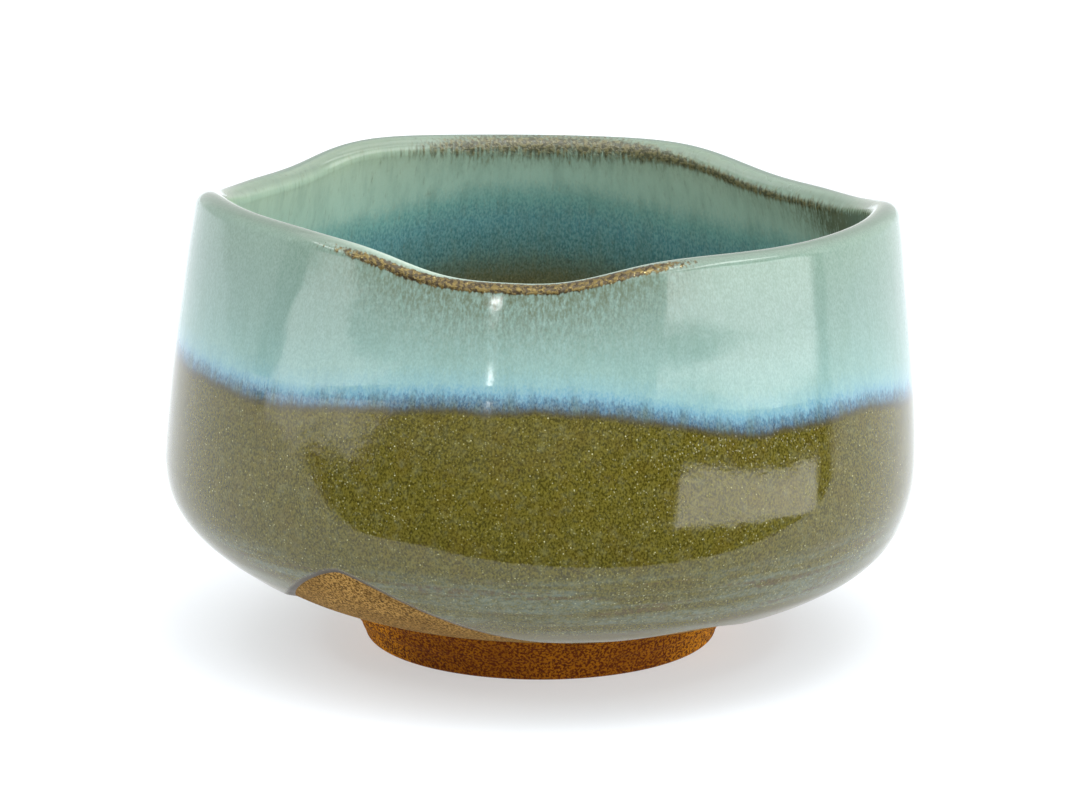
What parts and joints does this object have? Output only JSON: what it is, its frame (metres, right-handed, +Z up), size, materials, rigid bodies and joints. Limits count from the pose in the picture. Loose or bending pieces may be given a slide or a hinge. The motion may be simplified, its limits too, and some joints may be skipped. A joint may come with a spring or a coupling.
{
  "type": "matcha bowl",
  "caption": "Wide stoneware tea bowl for whisking matcha, with an undulating lip, a celadon glaze over an olive one, and a bare clay foot ring.",
  "frame": {"origin": "under the middle of the bowl, on the plane that the foot ring stands on", "axes": "+Z up; -Y towards the viewer, the side with the deep dip in the lip; +X to the viewer's right"},
  "size_m": [0.1199, 0.1199, 0.0737],
  "materials": {
    "bare_clay": "unglazed sandy stoneware, fired tan orange, with fine dark specks",
    "foot_clay": "unglazed sandy stoneware, fired orange brown, with fine dark specks",
    "olive_outside": "glossy olive green glaze with pale flecks and dark iron specks",
    "olive_inside": "glossy dark olive glaze with pale flecks",
    "celadon": "glossy pale celadon glaze, finely streaked, breaking brown at the lip and blue at its lower edge"
  },
  "bodies": {
    "root": {"clay_body": "bare_clay", "foot_ring": "foot_clay", "olive_glaze_outside": "olive_outside", "olive_glaze_inside": "olive_inside", "celadon_glaze": "celadon"}
  },
  "joints": []
}
